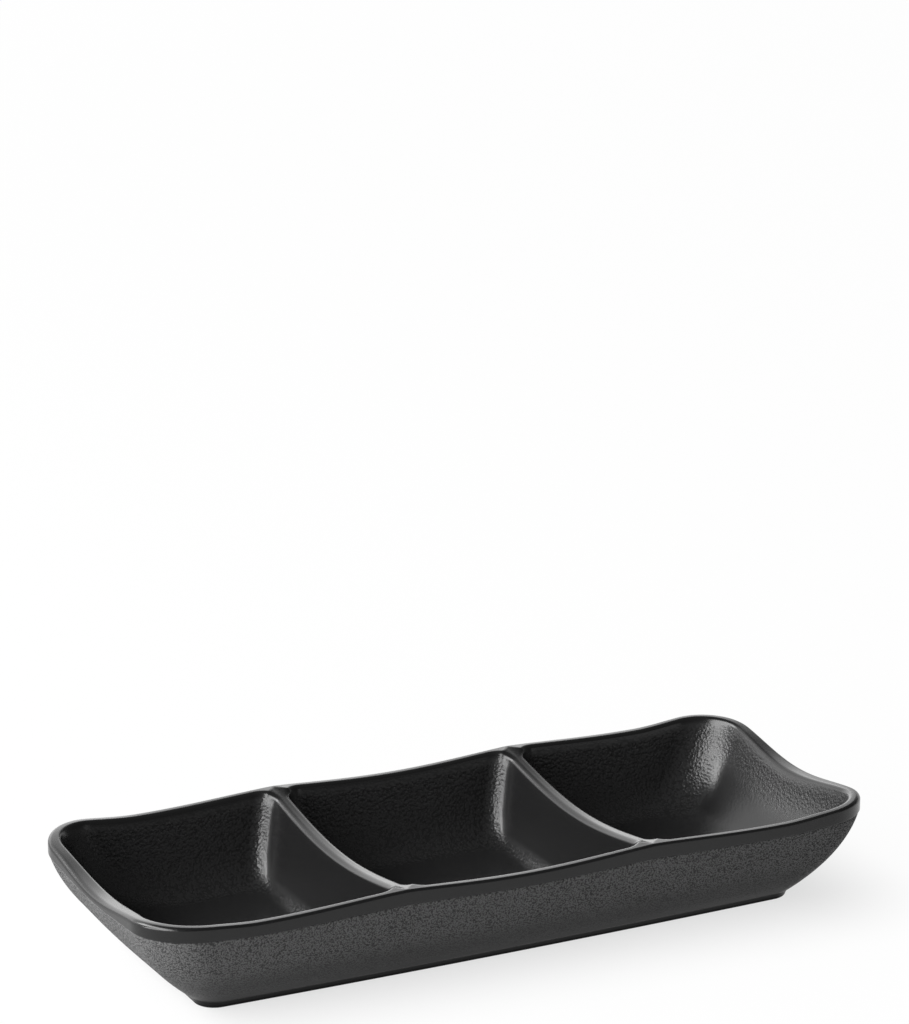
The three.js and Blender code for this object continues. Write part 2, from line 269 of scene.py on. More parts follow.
def rim_wave(base, normal):
    """Height of the rim's peaks at each station, and how far its crest dips below them.

    The path along the rim is measured from the peak half way round a corner. It is negative along the
    end, where one dip spans both corners, and positive along the side, where dips hang from corner to
    post and post to post.
    """
    turn = np.arctan2(np.abs(normal[..., 1]), np.abs(normal[..., 0]))
    half_arc = CORNER_RADIUS * np.pi / 4
    along_side = CORNER_X - np.abs(base[..., 0])
    along_end = CORNER_Y - np.abs(base[..., 1])
    path = (turn - np.pi / 4) * CORNER_RADIUS + along_side - along_end
    end_span = 2 * (CORNER_Y + half_arc)
    outer_span = CORNER_X - DIVIDER_X + half_arc
    share = path / outer_span
    on_end = path < 0
    on_outer = (path >= 0) & (share < 1)
    outer_peak = blend(CORNER_HEIGHT, POST_HEIGHT, smooth_step(0.0, 1.0, share))
    peak = np.where(on_end, CORNER_HEIGHT, np.where(on_outer, outer_peak, POST_HEIGHT))
    end_fall = END_DIP * dip(-path / end_span, 0.5, END_DIP_POWER, END_DIP_POWER)
    outer_fall = OUTER_DIP * dip(share, OUTER_DIP_CENTRE, OUTER_DIP_CORNER_POWER, OUTER_DIP_POST_POWER)
    middle_share = (base[..., 0] + DIVIDER_X) / DIVIDER_SPACING
    middle_fall = MIDDLE_DIP * dip(middle_share, 0.5, MIDDLE_DIP_POWER, MIDDLE_DIP_POWER)
    fall = np.where(on_end, end_fall, np.where(on_outer, outer_fall, middle_fall))
    return peak, fall


def rim_height(base, normal):
    """Height of the rim's crest: its peak less its dip."""
    peak, fall = rim_wave(base, normal)
    return peak - fall


def divider_height(y):
    """Height of a divider's crest, one half sine below the posts that it hangs between."""
    return POST_HEIGHT - DIVIDER_DIP * dip((y + CREST_Y) / (2 * CREST_Y), 0.5, 1.0, 1.0)


def band_line(base, normal):
    """Lower edge of the band: below the peaks by the band's height, with a share of the rim's dip."""
    peak, fall = rim_wave(base, normal)
    return peak - BAND_HEIGHT - by_facing(normal, BAND_DIP_SHARE_AT_ENDS, BAND_DIP_SHARE_AT_SIDES) * fall


def rim_point(rim, inset):
    """The rim's outline in plan, moved inwards by an inset, which may differ from point to point."""
    reach = np.broadcast_to(CORNER_RADIUS - inset, rim["base"].shape[:-1])
    return rim["base"] + rim["normal"] * reach[..., None]


def crest_inset(normal):
    """Distance from the rim's outline to the middle of the lip's land."""
    return by_facing(normal, CREST_INSET_AT_ENDS, CREST_INSET_AT_SIDES)


def foot_point(rim, offset):
    """The foot's outline in plan: the rim's, squeezed to a smaller rounded box whose long sides bow out."""
    corner = np.array([FOOT_HALF_LENGTH - FOOT_CORNER_RADIUS, FOOT_HALF_WIDTH - FOOT_CORNER_RADIUS])
    point = rim["base"] / np.array([CORNER_X, CORNER_Y]) * corner
    point = point + rim["normal"] * (FOOT_CORNER_RADIUS + offset)
    bow = FOOT_SIDE_BOW * (1 - (point[:, 0] / FOOT_HALF_LENGTH) ** 2) * point[:, 1] / FOOT_HALF_WIDTH
    return point + np.stack([np.zeros_like(bow), bow], axis=-1)


def wall_point(rim, height, thickness):
    """The outside wall in plan at a height: foot to band by the share of its rise plus a parabolic bulge.

    A thickness moves it inwards along the way from foot to band, by more where the wall slopes more.
    """
    foot = foot_point(rim, FOOT_STEP)
    top = rim_point(rim, BAND_STEP)
    run = np.linalg.norm(top - foot, axis=-1)
    rise = rim["band"] - BOND_GAP - FOOT_HEIGHT
    share = (height - FOOT_HEIGHT) / rise
    bulge = by_facing(rim["normal"], END_WALL_BULGE, SIDE_WALL_BULGE)
    reach = share + bulge * share * (1 - share)
    slope = run / rise * (1 + bulge * (1 - 2 * share))
    inwards = thickness * np.hypot(1.0, slope) / run
    return foot + (top - foot) * (reach - inwards)[:, None]


def at_height(plan, z):
    """Points of a plan at a height, which may differ from point to point."""
    return np.concatenate([plan, np.broadcast_to(z, plan.shape[:-1])[..., None]], axis=-1)


def arc_angles(start, turn, middle, steps):
    """Angles over a turn, spread so that the middle step falls on a chosen angle."""
    half = steps // 2
    first = np.linspace(0.0, middle, half + 1)
    second = np.linspace(middle, turn, steps - half + 1)[1:]
    return start + np.concatenate([first, second])


def rim_corner(corner, start):
    """Stations round a corner of a well under a corner of the dish, where the crest follows the rim."""
    angle = arc_angles(start, np.pi / 2, np.pi / 4, RIM_ARC_STEPS)
    normal = np.stack([np.cos(angle), np.sin(angle)], axis=-1)
    base = np.broadcast_to(corner["sides"] * np.array([CORNER_X, CORNER_Y]), normal.shape)
    return {
        "facing": normal,
        "base": base,
        "normal": normal,
        "crest": base + normal * (CORNER_RADIUS - crest_inset(normal))[:, None],
        "on_rim": np.ones(len(angle), bool),
        "grained": np.ones(len(angle)),
    }


def divider_corner(corner, start):
    """Stations round a corner of a well at a divider: its arc, thrown from its centre onto both crests.

    The throw stops at the rim's crest or at the divider's, whichever comes first, so one station hits
    the post.
    """
    sides, radius = corner["sides"], corner["radius"][0]
    to_rim = radius + LIP_WIDTH_AT_SIDES - CREST_INSET_AT_SIDES
    to_divider = radius + DIVIDER_TOP_WIDTH / 2
    post = math.atan2(to_rim, to_divider)
    starts_on_side = sides[0] * sides[1] < 0
    middle = np.pi / 2 - post if starts_on_side else post
    angle = arc_angles(start, np.pi / 2, middle, MOUTH_ARC_STEPS)
    facing = np.stack([np.cos(angle), np.sin(angle)], axis=-1)
    throws = np.array([to_divider, to_rim]) / np.maximum(np.abs(facing), TINY)
    crest = corner["place"] - sides * radius + facing * throws.min(axis=-1)[:, None]
    return {
        "facing": facing,
        "base": np.stack([crest[:, 0], np.full(len(angle), sides[1] * CORNER_Y)], axis=-1),
        "normal": np.broadcast_to(np.array([0.0, sides[1]]), facing.shape),
        "crest": crest,
        "on_rim": throws[:, 1] <= throws[:, 0] * (1 + TINY),
        "grained": smooth_step(*GRAINED_FACING, np.abs(facing[:, 1])),
    }


def well_corner(side, back, end_x, on_rim):
    """Sizes of one corner of a well: its place at the level of the rim's peaks, and how its two walls fall.

    The wall of a divider hangs from the divider's crest, and the others hang from the level of the
    peaks.
    """
    margin = LIP_WIDTH_AT_ENDS if on_rim else DIVIDER_TOP_WIDTH / 2
    return {
        "place": np.array([end_x - side * margin, back * (HALF_WIDTH - LIP_WIDTH_AT_SIDES)]),
        "sides": np.array([side, back], float),
        "hung": np.array([0.0 if on_rim else 1.0, 0.0]),
        "round": np.array([LIP_INNER_RADIUS if on_rim else DIVIDER_TOP_RADIUS, LIP_INNER_RADIUS]),
        "lean": np.array([END_LEAN if on_rim else DIVIDER_LEAN, SIDE_LEAN]),
        "run": np.array([END_SCOOP_RUN if on_rim else DIVIDER_SCOOP_RUN, SIDE_SCOOP_RUN]),
        "power": np.array([END_TURN_POWER if on_rim else DIVIDER_TURN_POWER, SIDE_TURN_POWER]),
        "radius": np.array([OUTER_CORNER_RADIUS, OUTER_FLOOR_CORNER_RADIUS] if on_rim
                           else [DIVIDER_CORNER_RADIUS, DIVIDER_FLOOR_CORNER_RADIUS]),
    }


def well_stations(left_x, right_x, left_on_rim, right_on_rim):
    """Stations round one well, anticlockwise from its right front corner: four corners, four straight sides.

    Each station keeps the sizes of the corner before it and of the one after it, and its share of the
    way between them, which is 0 on the corner itself.
    """
    ends = {-1: (left_x, left_on_rim), 1: (right_x, right_on_rim)}
    corners, arcs = [], []
    for side, back, start in ((1, -1, -np.pi / 2), (1, 1, 0.0), (-1, 1, np.pi / 2), (-1, -1, np.pi)):
        end_x, on_rim = ends[side]
        corner = well_corner(side, back, end_x, on_rim)
        corners.append(corner)
        arcs.append(rim_corner(corner, start) if on_rim else divider_corner(corner, start))
    right_steps = END_STEPS if right_on_rim else DIVIDER_STEPS
    left_steps = END_STEPS if left_on_rim else DIVIDER_STEPS
    parts = []
    for i, steps in enumerate((right_steps, SIDE_STEPS, left_steps, SIDE_STEPS)):
        arc, following = arcs[i], arcs[(i + 1) % 4]
        share = np.arange(1, steps) / steps
        side = {key: arc[key][-1] + np.multiply.outer(share, following[key][0] - arc[key][-1])
                for key in ("facing", "base", "normal", "crest", "grained")}
        side["on_rim"] = np.full(steps - 1, bool(arc["on_rim"][-1]))
        part = {key: np.concatenate([arc[key], side[key]]) for key in arc}
        part["share"] = np.concatenate([np.zeros(len(arc["base"])), share])
        for key in corners[i]:
            part[key] = np.broadcast_to(corners[i][key], part["base"].shape)
            part["next_" + key] = np.broadcast_to(corners[(i + 1) % 4][key], part["base"].shape)
        parts.append(part)
    well = {key: np.concatenate([part[key] for part in parts]) for key in parts[0]}
    on_rim_z = rim_height(well["base"], well["normal"])
    ridge = divider_height(well["crest"][:, 1])
    well["height"] = np.where(well["on_rim"], on_rim_z, ridge)
    well["ridge_share"] = (CORNER_HEIGHT - ridge) / WELL_DEPTH
    return well


def corner_plan(well, which, depth_share):
    """One corner of the cup in plan, as each station faces it, at shares of the well's depth.

    A wall leans away from its edge in proportion to the depth below it, and turns in onto the floor by
    one less the (power)th root of one less the share to that power, which meets the floor level. The
    corner's arc goes from its radius at the edge to its radius on the floor.
    """
    lean, power = well[which + "lean"] * WELL_DEPTH, well[which + "power"]
    share = np.clip(depth_share, 0.0, 1.0)[..., None]
    turn_in = 1 - (1 - share ** power) ** (1 / power)
    start = well[which + "hung"] * well["ridge_share"][:, None]
    out = lean * (share - start) + (well[which + "run"] - lean * (1 - start)) * turn_in
    radius = blend(well[which + "radius"][:, :1], well[which + "radius"][:, 1:], share)
    return well[which + "place"] - well[which + "sides"] * (out + radius) + well["facing"] * radius


def cup_plan(well, depth_share):
    """The cup of a well in plan at shares of its depth: a corner, or along a side a blend of two."""
    here, following = corner_plan(well, "", depth_share), corner_plan(well, "next_", depth_share)
    return blend(here, following, well["share"][:, None])


def rim_stations(wells):
    """The wells' stations on the rim, in order of their angle round the dish, each place once."""
    joined = {key: np.concatenate([well[key][well["on_rim"]] for well in wells]) for key in wells[0]}
    angle = np.arctan2(joined["crest"][:, 1], joined["crest"][:, 0])
    order = np.argsort(angle, kind="stable")
    place = joined["crest"][order]
    moved = np.linalg.norm(place - np.roll(place, 1, axis=0), axis=-1) > SAME_PLACE
    rim = {key: values[order][moved] for key, values in joined.items()}
    rim["band"] = band_line(rim["base"], rim["normal"])
    return rim


def hammered_mask(well, z):
    """Strength of the hammered grain at the heights of a well's rows of points.

    On the walls it comes in below the lip and stops at the floor. On a scooped end it is a belt close
    to the lip, which fades further down. The floor and the turn up to the walls have their own
    strength, also below a divider, and the stronger of the two counts. The lip, and a divider above its
    foot, have none.
    """
    below = well["height"] - z
    above = z - WELL_FLOOR
    on_end = smooth_step(*END_FACING, np.abs(well["facing"][:, 0])) * well["grained"]
    start, full = (blend(wall, end, on_end) for wall, end in zip(WALL_GRAIN_START, END_GRAIN_START))
    end_grain = blend(END_BELT_GRAIN, END_LOW_GRAIN, smooth_step(*END_GRAIN_FADE, below))
    on_wall = smooth_step(start, full, below) * blend(1.0, end_grain, on_end)
    on_wall = on_wall * well["grained"] * smooth_step(*WALL_GRAIN_STOP, above)
    in_turn = (1 - on_end) * smooth_step(*TURN_GRAIN_START, above)
    on_foot = blend(FLOOR_GRAIN, TURN_GRAIN, in_turn) * (1 - smooth_step(*TURN_GRAIN_STOP, above))
    return np.maximum(on_wall, on_foot)


def well_surface(well):
    """One well as rows of points, from the middle of its floor up the walls and over the lip to the crest.

    The walls belong to a cup that is cut off by the waving crest, so a low crest is a wide one. The lip
    is an arc that rolls from the wall's lean to the level land. The second value is the mask of the
    hammered grain.
    """
    height = well["height"]
    tilt = np.arctan(by_facing(well["facing"], well["lean"][:, 0], well["lean"][:, 1]))
    edge = cup_plan(well, (CORNER_HEIGHT - height) / WELL_DEPTH)
    to_crest = well["crest"] - edge
    to_crest = to_crest / np.linalg.norm(to_crest, axis=-1)[:, None]
    radius = by_facing(well["facing"], well["round"][:, 0], well["round"][:, 1])
    roll = radius * np.tan((np.pi / 2 - tilt) / 2)

    wall_top = (CORNER_HEIGHT - height + roll * np.cos(tilt)) / WELL_DEPTH
    way = np.sin(np.linspace(np.pi / 2, 0.0, WALL_STEPS + 1)) ** (2 / SIDE_TURN_POWER)
    depth_share = blend(wall_top, 1.0, way[:, None])
    wall = at_height(cup_plan(well, depth_share), CORNER_HEIGHT - depth_share * WELL_DEPTH)

    turn = blend(tilt, np.pi / 2, ROUND_SHARES[:, None])
    reach = roll - radius * np.cos(turn)
    lip = at_height(edge + to_crest * reach[..., None], height - radius * (1 - np.sin(turn)))
    land = at_height(blend(lip[-1, :, :2], well["crest"], HALF_STEPS[:, None, None]), height)

    floor = wall[0, :, :2]
    ground = at_height(blend(floor.mean(axis=0), floor, WELL_FLOOR_SHARES[:, None, None]), WELL_FLOOR)
    surface = np.concatenate([ground, wall, lip, land])
    return surface, hammered_mask(well, surface[..., 2])


def rim_surface(rim):
    """The outside of the tray as rows of points: from the crest over the lip, down the band and under it.

    The lip's outer edge and the band's lower edge are quarter arcs. Behind the shell the surface
    follows the outside wall at the depth of the shell and the bond, down to the flat underside.
    """
    height, band = rim["height"], rim["band"]
    radius = by_facing(rim["normal"], LIP_OUTER_RADIUS_AT_ENDS, LIP_OUTER_RADIUS_AT_SIDES)
    face_top = height - radius
    face_bottom = band + BAND_EDGE_RADIUS
    rows = [at_height(rim_point(rim, crest_inset(rim["normal"])), height)]
    for turn in QUARTER_TURN:
        inset = radius * (1 - np.sin(turn))
        rows.append(at_height(rim_point(rim, inset), height - radius * (1 - np.cos(turn))))
    for share in ROUND_SHARES:
        rows.append(at_height(rim_point(rim, 0.0), blend(face_top, face_bottom, share)))
    for turn in QUARTER_TURN[1:]:
        inset = BAND_EDGE_RADIUS * (1 - np.cos(turn))
        rows.append(at_height(rim_point(rim, inset), face_bottom - BAND_EDGE_RADIUS * np.sin(turn)))
    for share in HIDDEN_SHARES:
        level = blend(band, TRAY_UNDERSIDE, share)
        rows.append(at_height(wall_point(rim, level, SHELL_THICKNESS + BOND_GAP), level))
    rows.append(np.broadcast_to(np.array([0.0, 0.0, TRAY_UNDERSIDE]), rows[0].shape))
    return np.stack(rows)


def shell_surface(rim):
    """The shell as rows of points: up its inside, over its top edge, down wall and foot, under the dish.

    Two quadratic curves bend the wall into the foot, each from its start towards a corner and on to its
    end. Rows close to the edges of the foot ring and the recess keep the flats between them shading
    flat. The second value is the mask of the sand grain and of painted shade: it covers the outside wall,
    weakens on the way down, where it darkens the colour as painted shade near the floor, and stops at the
    foot.
    """
    top = rim["band"] - SHELL_EDGE_GAP
    pole = np.broadcast_to(np.array([0.0, 0.0, 1.0]), (len(top), 3))
    rows, grain = [], []

    def add(points, mask=0.0):
        rows.append(points)
        grain.append(mask)

    add(pole * SHELL_FLOOR_TOP)
    for share in HIDDEN_SHARES:
        level = blend(SHELL_FLOOR_TOP, top, share)
        add(at_height(wall_point(rim, level, SHELL_THICKNESS), level))
    for share in np.linspace(0.0, 1.0, WALL_STEPS + 1):
        level = blend(top, FOOT_HEIGHT + FOOT_BEND_RISE, share)
        # The mask weakens down the wall, so the colour darkens there: painted shade near the floor, then the
        # foot's own dark colour.
        mask = blend(1.0, SAND_AND_SHADE_LOW, smooth_step(*SAND_AND_SHADE_FADE, share)) * (1 - smooth_step(*SAND_STOP, share))
        add(at_height(wall_point(rim, level, 0.0), level), mask)

    wall_end = rows[-1]
    edge = at_height(wall_point(rim, np.full_like(top, FOOT_HEIGHT), 0.0), FOOT_HEIGHT)
    seat = at_height(foot_point(rim, FOOT_DRAFT), FOOT_HEIGHT - (FOOT_STEP - FOOT_DRAFT) / 2)
    toe = at_height(foot_point(rim, 0.0), FOOT_EDGE_RADIUS)
    middle = (edge + seat) / 2
    foot_start = blend(seat, toe, FOOT_BEND_SHARE)
    for start, corner, end in ((wall_end, edge, middle), (middle, seat, foot_start)):
        for share in ROUND_SHARES:
            add(start * (1 - share) ** 2 + corner * 2 * share * (1 - share) + end * share ** 2)
    for share in HALF_STEPS:
        add(blend(foot_start, toe, share))
    for turn in QUARTER_TURN[1:]:
        offset = -FOOT_EDGE_RADIUS * (1 - np.cos(turn))
        add(at_height(foot_point(rim, offset), FOOT_EDGE_RADIUS * (1 - np.sin(turn))))
    for inset in (FOOT_EDGE_RADIUS + EDGE_GUARD, FOOT_RING_WIDTH - EDGE_GUARD):
        add(at_height(foot_point(rim, -inset), 0.0))
    for share in RECESS_SHARES:
        add(at_height(foot_point(rim, -FOOT_RING_WIDTH - RECESS_DRAFT * share), RECESS_DEPTH * share))
    add(at_height(foot_point(rim, -FOOT_RING_WIDTH - RECESS_DRAFT - EDGE_GUARD), RECESS_DEPTH))
    add(pole * RECESS_DEPTH)
    surface = np.stack(rows)
    return surface, np.broadcast_to(np.array(grain)[:, None], surface.shape[:2])


def skin_faces(rows, count, first):
    """Corner numbers of the four-sided faces between neighbouring rows of a closed skin, facing out."""
    near = np.arange(count) + first + count * np.arange(rows - 1)[:, None]
    far = near + count
    faces = np.stack([far, np.roll(far, -1, axis=1), np.roll(near, -1, axis=1), near], axis=-1)
    return faces.reshape(-1, 4)


def closed_piece(name, skins, mask_name):
    """One closed mesh from skins of rows of points, welded where they meet, with a mask on its vertices.

    Points are welded on a grid of a tenth of a micron. A face whose corners weld together loses that
    corner, and one that keeps fewer than three corners is left out.
    """
    points = np.concatenate([surface.reshape(-1, 3) for surface, _ in skins])
    masks = np.concatenate([mask.reshape(-1) for _, mask in skins])
    firsts = np.cumsum([0] + [surface[..., 0].size for surface, _ in skins])
    faces = np.concatenate([
        skin_faces(surface.shape[0], surface.shape[1], first) for (surface, _), first in zip(skins, firsts)
    ])
    keys = np.round(points / WELD_GRID).astype(np.int64)
    _, kept, welded = np.unique(keys, axis=0, return_index=True, return_inverse=True)
    faces = welded.reshape(-1)[faces]
    repeats = faces == np.roll(faces, -1, axis=1)
    counts = 4 - repeats.sum(axis=1)
    faces, repeats, counts = faces[counts > 2], repeats[counts > 2], counts[counts > 2]
    corners = faces[~repeats]

    mesh = bpy.data.meshes.new(name)
    mesh.vertices.add(len(kept))
    mesh.vertices.foreach_set("co", points[kept].astype(np.float32).ravel())
    mesh.loops.add(len(corners))
    mesh.loops.foreach_set("vertex_index", corners.astype(np.int32))
    mesh.polygons.add(len(counts))
    mesh.polygons.foreach_set("loop_start", (np.cumsum(counts) - counts).astype(np.int32))
    mesh.polygons.foreach_set("use_smooth", np.ones(len(counts), bool))
    mesh.update(calc_edges=True)
    mask = mesh.attributes.new(mask_name, "FLOAT", "POINT")
    mask.data.foreach_set("value", masks[kept].astype(np.float32))
    mesh.validate(verbose=True)
    piece = bpy.data.objects.new(name, mesh)
    bpy.context.scene.collection.objects.link(piece)
    return piece


def feed(links, value, socket):
    """Give a socket its value: a link from another socket, or a constant."""
    if isinstance(value, bpy.types.NodeSocket):
        links.new(value, socket)
    else:
        socket.default_value = value


def feed_named(links, node, values):
    """Give a node's sockets their values by name."""
    for name, value in values.items():
        feed(links, value, node.inputs[name])


def math_node(nodes, links, operation, *values):
    """A math node on sockets or constants, by its output socket."""
    node = nodes.new("ShaderNodeMath")
    node.operation = operation
    for value, socket in zip(values, node.inputs):
        feed(links, value, socket)
    return node.outputs["Value"]


def vector_node(nodes, links, operation, *values, output="Vector"):
    """A vector math node on sockets or constants, by its output socket."""
    node = nodes.new("ShaderNodeVectorMath")
    node.operation = operation
    for value, socket in zip(values, node.inputs):
        feed(links, value, socket)
    return node.outputs[output]


def mix_colour(nodes, links, share, first, second):
    """A mix of two colours, sockets or constants, by a share, by its output socket.

    The colours go by number, because the node's sockets for other kinds of value have the same names.
    """
    first_colour, second_colour, mixed_colour = 6, 7, 2
    node = nodes.new("ShaderNodeMix")
    node.data_type = "RGBA"
    feed(links, share, node.inputs["Factor"])
    feed(links, first, node.inputs[first_colour])
    feed(links, second, node.inputs[second_colour])
    return node.outputs[mixed_colour]


def moulded_grain():
    """Node group of the grain that the mould leaves: irregular pebbles with pits where they meet.

    The pebbles are smooth cells on coordinates that a noise shifts by about half a cell, with finer
    crumbs on top. Height is their relief, and Pits, from 0 to 1, are the gaps between them. The mask
    fades both.
    """
    group = bpy.data.node_groups.new("moulded_grain", "ShaderNodeTree")
    for name, way in (("Cell Size", "INPUT"), ("Mask", "INPUT"), ("Height", "OUTPUT"), ("Pits", "OUTPUT")):
        group.interface.new_socket(name, in_out=way, socket_type="NodeSocketFloat")
    nodes, links = group.nodes, group.links
    inside = nodes.new("NodeGroupInput")
    outside = nodes.new("NodeGroupOutput")
    cell_size, mask = inside.outputs["Cell Size"], inside.outputs["Mask"]
    place = nodes.new("ShaderNodeTexCoord").outputs["Object"]
    density = math_node(nodes, links, "DIVIDE", 1.0, cell_size)
    fine_density = math_node(nodes, links, "MULTIPLY", density, CRUMB_FINENESS)

    shift = nodes.new("ShaderNodeTexNoise")
    feed_named(links, shift, {"Vector": place, "Scale": density, "Detail": GRAIN_SHIFT_DETAIL})
    centred = vector_node(nodes, links, "SUBTRACT", shift.outputs["Color"], (0.5, 0.5, 0.5))
    by_cell = vector_node(nodes, links, "MULTIPLY", centred, cell_size)
    shifted = vector_node(nodes, links, "ADD", place, by_cell)

    cells = nodes.new("ShaderNodeTexVoronoi")
    cells.feature = "SMOOTH_F1"
    feed_named(links, cells, {"Vector": shifted, "Scale": density, "Smoothness": GRAIN_SMOOTHNESS})
    crumbs = nodes.new("ShaderNodeTexNoise")
    feed_named(links, crumbs, {"Vector": place, "Scale": fine_density, "Detail": CRUMB_DETAIL})

    pebbles = math_node(nodes, links, "SUBTRACT", 1.0, cells.outputs["Distance"])
    rough = math_node(nodes, links, "MULTIPLY_ADD", crumbs.outputs["Fac"], CRUMB_HEIGHT, pebbles)
    gaps = nodes.new("ShaderNodeMapRange")
    gaps.interpolation_type = "SMOOTHSTEP"
    limits = {"From Min": GRAIN_PIT_START, "From Max": GRAIN_PIT_FULL}
    feed_named(links, gaps, {"Value": cells.outputs["Distance"], **limits})
    height = math_node(nodes, links, "MULTIPLY", rough, mask)
    pits = math_node(nodes, links, "MULTIPLY", gaps.outputs["Result"], mask)
    feed_named(links, outside, {"Height": height, "Pits": pits})
    return group


def grained_material(name, grain, mask_name, cell_size, relief):
    """A material with a Principled shader, whose normal is raised by the mould's grain where the mask is.

    Returns the material, its shader, and the sockets of the mask and of the grain's pits.
    """
    material = bpy.data.materials.new(name)
    material.use_nodes = True
    nodes, links = material.node_tree.nodes, material.node_tree.links
    nodes.clear()
    shader = nodes.new("ShaderNodeBsdfPrincipled")
    output = nodes.new("ShaderNodeOutputMaterial")
    mask = nodes.new("ShaderNodeAttribute")
    mask.attribute_name = mask_name
    pattern = nodes.new("ShaderNodeGroup")
    pattern.node_tree = grain
    feed_named(links, pattern, {"Cell Size": cell_size, "Mask": mask.outputs["Fac"]})
    bump = nodes.new("ShaderNodeBump")
    feed_named(links, bump, {"Distance": relief, "Height": pattern.outputs["Height"]})
    feed_named(links, shader, {"Normal": bump.outputs["Normal"]})
    feed_named(links, output, {"Surface": shader.outputs["BSDF"]})
    return material, shader, mask.outputs["Fac"], pattern.outputs["Pits"]


def satin_black(grain):
    """Finish of the tray: black, glossy on the smooth parts, satin and a little lighter in the wells.

    The wells' colour follows their pebbles' mask, times a gain and at most 1.
    """
    material, shader, mask, pits = grained_material(
        "tray_satin_black", grain, "hammered", PEBBLE_CELL, PEBBLE_RELIEF)
    nodes, links = material.node_tree.nodes, material.node_tree.links
    in_wells = math_node(nodes, links, "MULTIPLY", mask, PEBBLE_COLOUR_GAIN)
    in_wells = math_node(nodes, links, "MINIMUM", in_wells, 1.0)
    pebbles = mix_colour(nodes, links, pits, PEBBLE_BLACK, PEBBLE_PIT_BLACK)
    colour = mix_colour(nodes, links, in_wells, SMOOTH_BLACK, pebbles)
    rough = math_node(nodes, links, "MULTIPLY_ADD", mask, PEBBLE_EXTRA_ROUGHNESS, TRAY_ROUGHNESS)
    feed_named(links, shader, {"Base Color": colour, "Roughness": rough, "IOR": TRAY_IOR})
    return material


def grained_black(grain):
    """Finish of the shell: charcoal with dark pits in its sand grain, darkening low on the wall as painted
    shade near the floor, and a smooth darker foot.
    """
    material, shader, mask, pits = grained_material(
        "shell_grained_black", grain, "sand_and_painted_shade", SAND_CELL, SAND_RELIEF)
    nodes, links = material.node_tree.nodes, material.node_tree.links
    sand = mix_colour(nodes, links, pits, SAND_CHARCOAL, SAND_PIT_CHARCOAL)
    # A weak mask low on the wall mixes in the foot's black: painted shade near the floor, and the foot's own
    # dark colour below it.
    colour = mix_colour(nodes, links, mask, FOOT_BLACK, sand)
    rough = math_node(nodes, links, "MULTIPLY_ADD", mask, SAND_EXTRA_ROUGHNESS, FOOT_ROUGHNESS)
    rough = math_node(nodes, links, "MULTIPLY_ADD", pits, SAND_PIT_EXTRA_ROUGHNESS, rough)
    feed_named(links, shader, {"Base Color": colour, "Roughness": rough, "IOR": SHELL_IOR})
    return material


def pale_floor():
    """The floor: white to the eye and in reflections, with the dish's own shadow on it.

    Its own white takes over from the light on it with the distance from the foot, so it ends in an even
    white. That distance is the length of what stays of a place's x and y beyond the foot's half length
    and half width. Nothing stays of its z, because the floor's top is taken from it.
    """
    material = bpy.data.materials.new("pale_floor")
    material.use_nodes = True
    nodes, links = material.node_tree.nodes, material.node_tree.links
    nodes.clear()
    diffuse = nodes.new("ShaderNodeBsdfDiffuse")
    feed_named(links, diffuse, {"Color": FLOOR_GREY})
    white = nodes.new("ShaderNodeEmission")
    feed_named(links, white, {"Color": WHITE, "Strength": 1.0})

    place = nodes.new("ShaderNodeTexCoord").outputs["Object"]
    beyond = vector_node(nodes, links, "ABSOLUTE", place)
    beyond = vector_node(nodes, links, "SUBTRACT", beyond, (FOOT_HALF_LENGTH, FOOT_HALF_WIDTH, FLOOR_TOP))
    beyond = vector_node(nodes, links, "MAXIMUM", beyond, (0.0, 0.0, 0.0))
    distance = vector_node(nodes, links, "LENGTH", beyond, output="Value")
    share = nodes.new("ShaderNodeMapRange")
    share.interpolation_type = "SMOOTHSTEP"
    limits = {"From Min": 0.0, "From Max": FLOOR_WHITE_RUN}
    whites = {"To Min": FLOOR_WHITE_AT_FOOT, "To Max": FLOOR_WHITE_AWAY}
    feed_named(links, share, {"Value": distance, **limits, **whites})

    path = nodes.new("ShaderNodeLightPath")
    seen = math_node(nodes, links, "ADD", path.outputs["Is Camera Ray"], path.outputs["Is Glossy Ray"])
    seen = math_node(nodes, links, "ADD", seen, path.outputs["Is Transmission Ray"])
    seen = math_node(nodes, links, "MINIMUM", seen, 1.0)
    seen = math_node(nodes, links, "MULTIPLY", seen, share.outputs["Result"])
    mix = nodes.new("ShaderNodeMixShader")
    links.new(seen, mix.inputs["Fac"])
    links.new(diffuse.outputs["BSDF"], mix.inputs[1])
    links.new(white.outputs["Emission"], mix.inputs[2])
    output = nodes.new("ShaderNodeOutputMaterial")
    links.new(mix.outputs["Shader"], output.inputs["Surface"])
    return material


def make_floor():
    """A wide floor that turns up behind the dish in a quarter arc, carried straight along X."""
    arc = np.linspace(0.0, np.pi / 2, FLOOR_TURN_STEPS + 1)
    back_wall = FLOOR_BACK + FLOOR_TURN_RADIUS
    y = np.concatenate([[-FLOOR_REACH], FLOOR_BACK + FLOOR_TURN_RADIUS * np.sin(arc), [back_wall]])
    z = np.concatenate([[0.0], FLOOR_TURN_RADIUS * (1 - np.cos(arc)), [FLOOR_TOP]]) - FLOOR_GAP
    x = np.array([-FLOOR_REACH, FLOOR_REACH])
    points = np.stack(np.broadcast_arrays(x[None, :], y[:, None], z[:, None]), axis=-1).reshape(-1, 3)
    row = 2 * np.arange(len(y) - 1)
    faces = np.stack([row, row + 1, row + 3, row + 2], axis=-1)
    mesh = bpy.data.meshes.new("floor")
    mesh.from_pydata(points.tolist(), [], faces.tolist())
    floor = bpy.data.objects.new("floor", mesh)
    bpy.context.scene.collection.objects.link(floor)
    mesh.materials.append(pale_floor())


